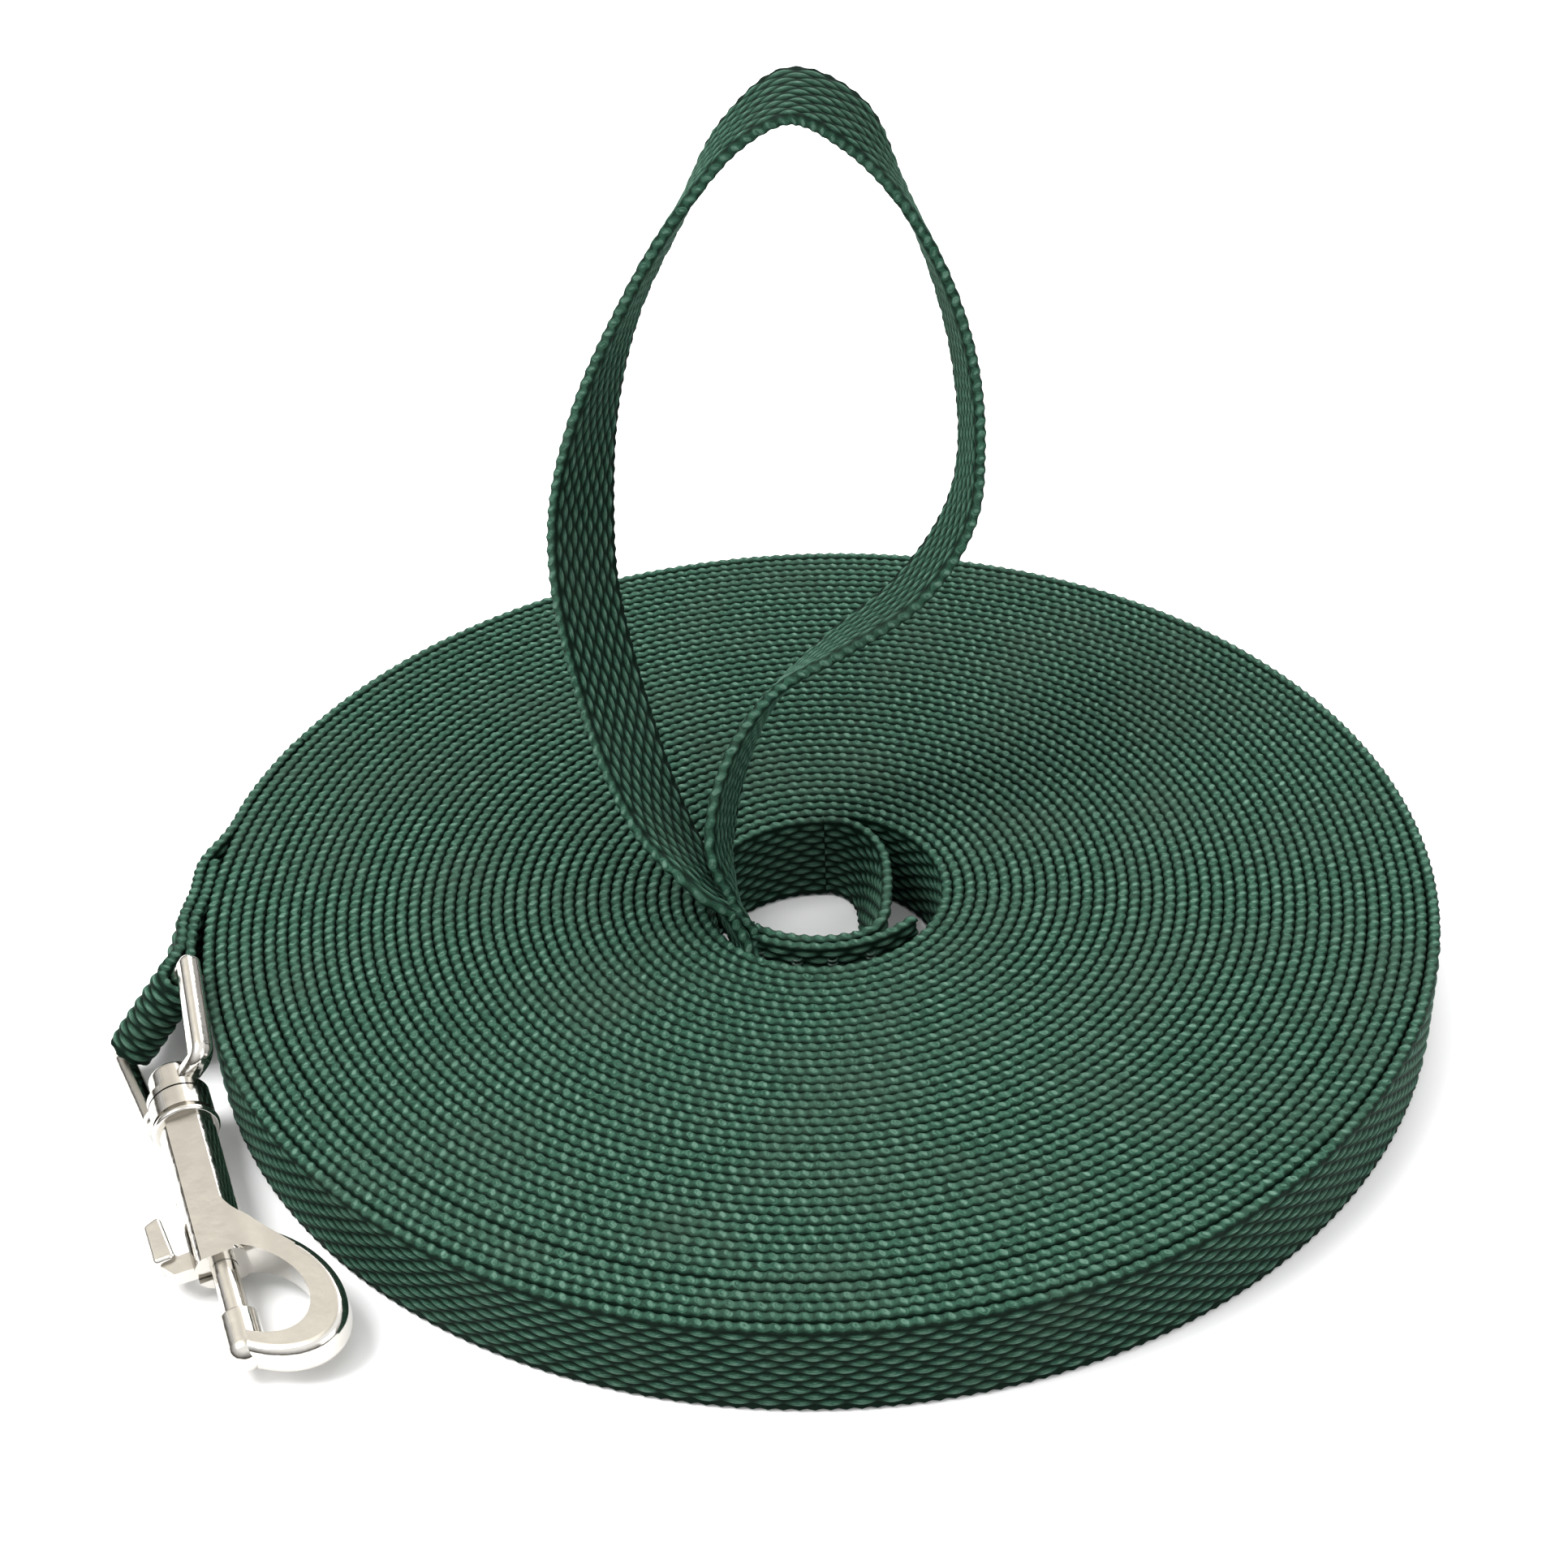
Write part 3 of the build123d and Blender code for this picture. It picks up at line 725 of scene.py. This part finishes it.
def fold_turn() -> list[tuple[Vector, Vector]]:
    """Stations round the eye's bar, from the coil's side to the outer side."""
    bar, direction = eye_bar(), side_of_axis(LIE.bar_lean)
    radius = LIE.bar_radius + LIE.fold_clearance + WEB.thickness / 2
    back = (fold_spine()[1][0] - bar).normalized()
    back = (back - direction * back.dot(direction)).normalized()
    side = direction.cross(back)
    turn = []
    for angle in range(0, 181, 20):
        reach = side * cos(radians(angle)) - back * sin(radians(angle))
        turn.append((bar + reach * radius, direction))
    return turn


def tail_stations() -> list[tuple[Vector, Vector]]:
    """From the coil's outer end, round the eye's bar, and back to the sewn cut end."""
    end = polar(COIL_END_RADIUS - WEB.thickness / 2, COIL.outer_end_angle, WEB.half_width)
    run = [(end, Vector((0, 0, 1)))]
    rise = WEB.turn_gap + WEB.thickness / 2 + WEB.strap_clearance
    for angle in (154.6, 159.2, 164.4, 169.6):
        run.append((beside_coil(angle, rise, WEB.half_width), Vector((0, 0, 1))))
    return run + list(reversed(fold_layer(1))) + fold_turn() + fold_layer(-1)


@dataclass
class Strap:
    """A free stretch of the strip, woven on both faces."""

    name: str
    node: str
    stations: Callable[[], list[tuple[Vector, Vector]]]
    held: str
    rests_on: tuple[str, ...]
    step: float = 0.42

    def build(self) -> bpy.types.Object:
        """Makes the strap, standing for its node."""
        path = smooth_path(self.stations(), self.step)
        piece = strip_mesh(self.name, path, full_section(), closed_ends=True)
        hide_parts(self.node)
        return piece


STRAPS = (
    Strap("lead_strap", "webbing_lead", lead_stations, "laid", ("floor",)),
    Strap("hand_loop", "webbing_handle", loop_stations, "folded", ("lead_strap",)),
    Strap("snap_strap", "webbing_snap_end", tail_stations, "folded", ("coil_side",)),
)


# ---------------------------------------------------------------- sewing thread
@dataclass
class Bartack:
    """A zigzag of thread sewn across both layers, seen on one face."""

    radius: float = 0.17
    length: float = 10.4         # across the webbing
    depth: float = 1.5           # along the webbing
    strokes: int = 15

    def points(self, middle: Vector, across: Vector, along: Vector, out: Vector) -> Iterator[Vector]:
        """The thread's points: each stroke dips into the webbing at its two ends.

        Args:
            middle: the tack's middle.
            across: unit vector across the webbing.
            along: unit vector along it.
            out: unit vector out of its face.

        Returns:
            The points, one at a time.
        """
        for i in range(self.strokes):
            place = (i / (self.strokes - 1) - 0.5) * self.length
            way = 1 if i % 2 else -1
            for part, height in ((-1, -0.35), (-0.7, 0.42), (0.7, 0.42), (1, -0.35)):
                yield middle + across * place + along * (way * part * self.depth / 2) + out * height


def thread_curve(name: str, runs: list[list[Vector]], radius: float) -> bpy.types.Object:
    """A round thread through each run of points.

    Args:
        name: the object's name.
        runs: each run's points.
        radius: the thread's.

    Returns:
        The object.
    """
    curve = bpy.data.curves.new(name, "CURVE")
    curve.dimensions = "3D"
    curve.bevel_depth = radius * MM
    curve.bevel_resolution = 2
    curve.use_fill_caps = True
    for run in runs:
        spline = curve.splines.new("NURBS")
        spline.points.add(len(run) - 1)
        for point, place in zip(spline.points, run):
            point.co = (*((place + CENTRE) * MM), 1)
        spline.order_u = 3
        spline.use_endpoint_u = True
    piece = bpy.data.objects.new(name, curve)
    bpy.context.scene.collection.objects.link(piece)
    LOG.info("%s: %d runs of thread", name, len(runs))
    return piece


def face_frames(stations: list[tuple[Vector, Vector]], shares: tuple[float, ...],
                face: float) -> list[tuple[Vector, Vector, Vector, Vector]]:
    """Frames on one face of a strip: (middle, across, along, out) at shares of its length.

    Args:
        stations: the strip's stations.
        shares: shares of its length.
        face: 1 for the front face, -1 for the back.

    Returns:
        The frames.
    """
    path = smooth_path(stations, 0.5)
    frames = []
    for share in shares:
        i = round(share * (len(path.run) - 1))
        i = min(max(i, 1), len(path.run) - 2)
        along = Vector(path.middle[i + 1] - path.middle[i - 1]).normalized()
        out = Vector(path.normal[i]) * face
        middle = Vector(path.middle[i]) + out * (WEB.thickness / 2)
        frames.append((middle, Vector(path.across[i]), along, out))
    return frames


def stitching() -> list[bpy.types.Object]:
    """The bartacks of the hand loop's seam, and those behind the snap's eye."""
    tack = Bartack()
    shares = (0.12, 0.37, 0.63, 0.88)
    seam = face_frames(seam_stations(1, 0, SEAM.steps), shares, -1)
    seam += face_frames(seam_stations(0, 0, SEAM.steps), shares, 1)
    loop = thread_curve("hand_loop_thread", [list(tack.points(*f)) for f in seam], tack.radius)
    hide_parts("handle_stitching")
    tail = []
    for side in (1, -1):
        tail += face_frames(fold_layer(side), (0.16, 0.5, 0.84), side)
    snap = thread_curve("snap_strap_thread", [list(tack.points(*f)) for f in tail], tack.radius)
    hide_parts("snap_stitching")
    return [loop, snap]


# ---------------------------------------------------------------- materials
class Graph:
    """A material's node tree, with short calls to add and join nodes."""

    def __init__(self, name: str) -> None:
        """Starts a material that has only its shader."""
        self.material = bpy.data.materials.new(name)
        self.material.use_nodes = True
        self.tree = self.material.node_tree
        self.shader = self.tree.nodes["Principled BSDF"]

    def add(self, kind: str, **settings: object) -> bpy.types.Node:
        """Adds a node. Names of its inputs take a value or a socket; others are properties.

        Args:
            kind: the node's type.
            settings: its inputs and properties.

        Returns:
            The node.
        """
        node = self.tree.nodes.new(kind)
        for key, value in settings.items():
            if hasattr(node, key):
                setattr(node, key, value)
        for key, value in settings.items():
            if not hasattr(node, key):
                self.join(node.inputs[key.replace("_", " ")], value)
        return node

    def join(self, socket: bpy.types.NodeSocket, value: object) -> None:
        """Links a socket to another, or sets its value."""
        if isinstance(value, bpy.types.NodeSocket):
            self.tree.links.new(value, socket)
        else:
            socket.default_value = value

    def math(self, operation: str, *values: object) -> bpy.types.NodeSocket:
        """Does sums on numbers or sockets."""
        node = self.add("ShaderNodeMath", operation=operation)
        for socket, value in zip(node.inputs, values):
            self.join(socket, value)
        return node.outputs[0]

    def mix(self, share: object, first: object, second: object) -> bpy.types.NodeSocket:
        """Mixes two colours.

        Args:
            share: how much of the second.
            first: a colour or socket.
            second: a colour or socket.

        Returns:
            The mixed colour.
        """
        node = self.add("ShaderNodeMix", data_type="RGBA")
        for index, value in ((0, share), (6, first), (7, second)):
            self.join(node.inputs[index], value)
        return node.outputs[2]

    def remap(self, value: object, low: float, high: float,
              to_low: float, to_high: float) -> bpy.types.NodeSocket:
        """Stretches a value from one range to another, and stops it at the ends."""
        node = self.add("ShaderNodeMapRange")
        for socket, given in zip(node.inputs, (value, low, high, to_low, to_high)):
            self.join(socket, given)
        return node.outputs[0]

    def noise(self, vector: object, scale: float, detail: float = 2.0,
              rough: float = 0.5) -> bpy.types.NodeSocket:
        """Cloudy noise over a vector."""
        node = self.add("ShaderNodeTexNoise", Scale=scale, Detail=detail, Roughness=rough)
        self.join(node.inputs["Vector"], vector)
        return node.outputs[0]

    def stretch(self, vector: object, scale: tuple[float, float, float],
                turn: tuple[float, float, float] = (0, 0, 0)) -> bpy.types.NodeSocket:
        """Scales and turns a vector, which draws a pattern out one way."""
        node = self.add("ShaderNodeMapping", Scale=scale, Rotation=turn)
        self.join(node.inputs["Vector"], vector)
        return node.outputs[0]

    def bump(self, height: object, strength: float, distance: float,
             below: object = None) -> bpy.types.NodeSocket:
        """Small relief from a height, laid over the relief below it."""
        node = self.add("ShaderNodeBump", Strength=strength, Distance=distance)
        self.join(node.inputs["Height"], height)
        if below is not None:
            self.join(node.inputs["Normal"], below)
        return node.outputs[0]

    def finish(self, **inputs: object) -> bpy.types.Material:
        """Sets the shader's inputs, spaces in names written as underscores.

        Args:
            inputs: a value or socket for each.

        Returns:
            The material.
        """
        for key, value in inputs.items():
            self.join(self.shader.inputs[key.replace("_", " ")], value)
        return self.material


@dataclass(frozen=True)
class DyeAndPaintedLight:
    """The webbing's colours: dyed body, warm patches and thread, with painted shade in the valleys and a
    painted highlight on the crowns.
    """

    # valley: painted shade, for the pits between floats and the gaps between turns
    valley: tuple[float, ...] = (0.0012, 0.0085, 0.0045, 1)
    body: tuple[float, ...] = (0.022, 0.068, 0.044, 1)
    # crown: painted highlight on the tops of the floats and selvages
    crown: tuple[float, ...] = (0.105, 0.190, 0.145, 1)
    warm: tuple[float, ...] = (0.030, 0.054, 0.038, 1)
    thread: tuple[float, ...] = (0.009, 0.042, 0.026, 1)


@dataclass(frozen=True)
class Plating:
    """Nickel plate on a die casting."""

    polished: tuple[float, ...] = (0.62, 0.60, 0.56, 1)
    lapped: tuple[float, ...] = (0.30, 0.278, 0.238, 1)
    polished_roughness: float = 0.10
    lapped_roughness: float = 0.40


DYE_AND_PAINTED_LIGHT, PLATING = DyeAndPaintedLight(), Plating()


def webbing_material() -> bpy.types.Material:
    """Woven polypropylene: painted highlight on the crowns, painted shade in the valleys, and filaments
    along each float.
    """
    g = Graph("green_webbing")
    strip = g.add("ShaderNodeUVMap", uv_map="strip").outputs[0]
    relief = g.add("ShaderNodeAttribute", attribute_name="relief").outputs["Fac"]
    place = g.add("ShaderNodeTexCoord").outputs["Object"]
    filaments = g.noise(g.stretch(strip, (0.9, 7.5, 1), (0, 0, 0.10)), 1.0, 3.0, 0.6)
    twist = g.noise(g.stretch(strip, (2.6, 1.5, 1), (0, 0, 0.6)), 1.0, 2.0, 0.6)
    patches = g.noise(place, 55.0, 3.0, 0.6)
    # painted shade and highlight follow the weave's relief, streaked by the filaments' noise
    shade_highlight_and_filaments = g.math("ADD", relief, g.math("MULTIPLY", g.math("SUBTRACT", filaments, 0.5), 1.5))
    # painted shade: the valleys darkened from the body colour
    low = g.mix(g.remap(shade_highlight_and_filaments, 0.22, 0.78, 0, 1), DYE_AND_PAINTED_LIGHT.valley, DYE_AND_PAINTED_LIGHT.body)
    # painted highlight: the crowns lightened towards the crown colour
    high = g.mix(g.remap(shade_highlight_and_filaments, 0.74, 1.20, 0, 1), low, DYE_AND_PAINTED_LIGHT.crown)
    colour = g.mix(g.remap(patches, 0.45, 0.75, 0, 0.45), high, DYE_AND_PAINTED_LIGHT.warm)
    # painted shade again: the lowest relief is darkened to the valley colour
    colour = g.mix(g.remap(relief, 0.10, 0.58, 0.96, 0), colour, DYE_AND_PAINTED_LIGHT.valley)
    fine = g.bump(filaments, 0.55, 0.00012)
    normal = g.bump(twist, 0.35, 0.00016, fine)
    return g.finish(Base_Color=colour, Roughness=g.remap(filaments, 0.3, 0.7, 0.55, 0.8), Normal=normal,
                    Sheen_Weight=0.02, Sheen_Roughness=0.4, Sheen_Tint=(0.55, 0.80, 0.68, 1),
                    Specular_IOR_Level=0.08)


def thread_material() -> bpy.types.Material:
    """Bonded sewing thread with its ply showing."""
    g = Graph("green_thread")
    place = g.add("ShaderNodeTexCoord").outputs["Object"]
    ply = g.noise(g.stretch(place, (3500, 3500, 3500)), 1.0, 2.0)
    colour = g.mix(g.remap(ply, 0.3, 0.7, 0.25, 1), DYE_AND_PAINTED_LIGHT.valley, DYE_AND_PAINTED_LIGHT.thread)
    return g.finish(Base_Color=colour, Roughness=0.42, Normal=g.bump(ply, 0.4, 0.0001), Sheen_Weight=0.15)


def plating_material() -> bpy.types.Material:
    """Polished nickel, with lapped flats square to the snap's thin direction."""
    g = Graph("nickel_plate")
    coords = g.add("ShaderNodeTexCoord")
    place = coords.outputs["Object"]
    facing = g.add("ShaderNodeVectorMath", operation="DOT_PRODUCT")
    g.join(facing.inputs[0], coords.outputs["Normal"])
    g.join(facing.inputs[1], snap_axis().cross(side_of_axis(LIE.body_roll)))
    flat = g.remap(g.math("ABSOLUTE", facing.outputs["Value"]), 0.915, 0.955, 0, 1)
    lapping = g.noise(g.stretch(place, (9000, 1400, 9000), (0, 0, radians(LIE.yaw))), 1.0, 3.0, 0.65)
    clouds = g.noise(place, 260.0, 3.0, 0.6)
    colour = g.mix(flat, PLATING.polished, PLATING.lapped)
    rough = g.math("ADD", g.remap(flat, 0, 1, PLATING.polished_roughness, PLATING.lapped_roughness),
                   g.remap(clouds, 0.3, 0.7, -0.02, 0.07))
    scratch = g.bump(lapping, 0.10, 0.00004)
    wave = g.bump(clouds, 0.22, 0.0004, scratch)
    return g.finish(Base_Color=colour, Metallic=1.0, Roughness=rough, Normal=wave)


def spring_material() -> bpy.types.Material:
    """Bright drawn steel wire with a trace of oil."""
    g = Graph("spring_wire")
    place = g.add("ShaderNodeTexCoord").outputs["Object"]
    grain = g.noise(place, 4000.0, 2.0)
    return g.finish(Base_Color=(0.52, 0.52, 0.54, 1), Metallic=1.0,
                    Roughness=g.remap(grain, 0.3, 0.7, 0.22, 0.4), Normal=g.bump(grain, 0.1, 0.00003))


def floor_material() -> bpy.types.Material:
    """Plain pale matt floor."""
    g = Graph("pale_floor")
    return g.finish(Base_Color=(0.93, 0.93, 0.93, 1), Roughness=0.75)


# ---------------------------------------------------------------- studio
@dataclass(frozen=True)
class View:
    """The camera, in the coil's frame: above and before the coil, turned a little."""

    place: tuple[float, float, float] = (-4.12, -307.96, 255.04)
    down_from_level: float = 36.01
    roll: float = -2.55
    lens: float = 57.83


def make_camera(view: View = View()) -> None:
    """Sets the scene's camera.

    Args:
        view: where it stands and looks.
    """
    data = bpy.data.cameras.new("camera")
    data.lens = view.lens
    data.sensor_width = 36.0
    data.clip_start = 0.01
    camera = bpy.data.objects.new("camera", data)
    bpy.context.scene.collection.objects.link(camera)
    place = (Vector(view.place) + CENTRE) * MM
    turn = (Matrix.Rotation(radians(90 - view.down_from_level), 4, "X")
            @ Matrix.Rotation(radians(view.roll), 4, "Z"))
    camera.matrix_world = Matrix.Translation(place) @ turn
    bpy.context.scene.camera = camera
    bpy.context.scene.view_settings.view_transform = "Standard"


@dataclass(frozen=True)
class Softbox:
    """A soft area light, aimed at a point above the coil."""

    name: str
    place: tuple[float, float, float]
    size: float
    power: float

    def build(self) -> None:
        """Makes the light and turns it to the coil."""
        data = bpy.data.lights.new(self.name, "AREA")
        data.size = self.size
        data.energy = self.power
        lamp = bpy.data.objects.new(self.name, data)
        bpy.context.scene.collection.objects.link(lamp)
        lamp.location = self.place
        aim = Vector((0, 0, 0.02)) - lamp.location
        lamp.rotation_euler = aim.to_track_quat("-Z", "Y").to_euler()


SOFTBOXES = (
    Softbox("key", (-0.55, -0.15, 0.95), 0.55, 13.0),
    Softbox("fill", (0.75, -0.65, 0.55), 0.8, 3.0),
    Softbox("back", (0.15, 0.85, 0.75), 0.8, 7.5),
)


def make_world() -> None:
    """An even pale surround, brighter overhead."""
    world = bpy.data.worlds.new("studio")
    bpy.context.scene.world = world
    world.use_nodes = True
    tree = world.node_tree
    surface = tree.nodes["Background"]
    coords = tree.nodes.new("ShaderNodeTexCoord")
    split = tree.nodes.new("ShaderNodeSeparateXYZ")
    ramp = tree.nodes.new("ShaderNodeValToRGB")
    ramp.color_ramp.elements[0].position = 0.10
    ramp.color_ramp.elements[0].color = (0.06, 0.05, 0.042, 1)
    ramp.color_ramp.elements[1].position = 0.72
    ramp.color_ramp.elements[1].color = (1, 1, 1, 1)
    tree.links.new(coords.outputs["Generated"], split.inputs[0])
    tree.links.new(split.outputs["Z"], ramp.inputs[0])
    tree.links.new(ramp.outputs[0], surface.inputs[0])
    surface.inputs[1].default_value = 1.35


def make_floor() -> None:
    """A wide pale floor under the coil."""
    size = 6.0
    mesh = bpy.data.meshes.new("floor")
    corners = [(-size, -size, 0), (size, -size, 0), (size, size, 0), (-size, size, 0)]
    mesh.from_pydata(corners, [], [(0, 1, 2, 3)])
    floor = bpy.data.objects.new("floor", mesh)
    floor.location.z = -0.0002
    bpy.context.scene.collection.objects.link(floor)
    mesh.materials.append(floor_material())


# ---------------------------------------------------------------- assembly
def dress(piece: bpy.types.Object, material: bpy.types.Material, body: str) -> None:
    """Gives a new piece its material and the body it moves with.

    Args:
        piece: the object.
        material: its material.
        body: the body's name.
    """
    piece.data.materials.clear()
    piece.data.materials.append(material)
    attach(piece, body)


def dress_castings() -> None:
    """The snap's own shapes stay; they get their plating."""
    plating, wire = plating_material(), spring_material()
    for node, material in (("swivel_eye", plating), ("snap_body", plating), ("bolt", plating),
                           ("bolt_spring", wire)):
        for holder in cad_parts[node].material_slots:
            holder.material = material
        LOG.info("%s: plated", node)


def main() -> None:
    """Builds the stage, the webbing, the thread and the plated snap, in that order."""
    make_camera()
    make_world()
    make_floor()
    for softbox in SOFTBOXES:
        softbox.build()
    webbing, thread = webbing_material(), thread_material()
    coil = WoundCoil(step=0.5)
    for piece in coil.build() + [strap.build() for strap in STRAPS]:
        dress(piece, webbing, "webbing")
    for piece in stitching():
        dress(piece, thread, "webbing")
    dress_castings()


if __name__ == "__main__":
    main()
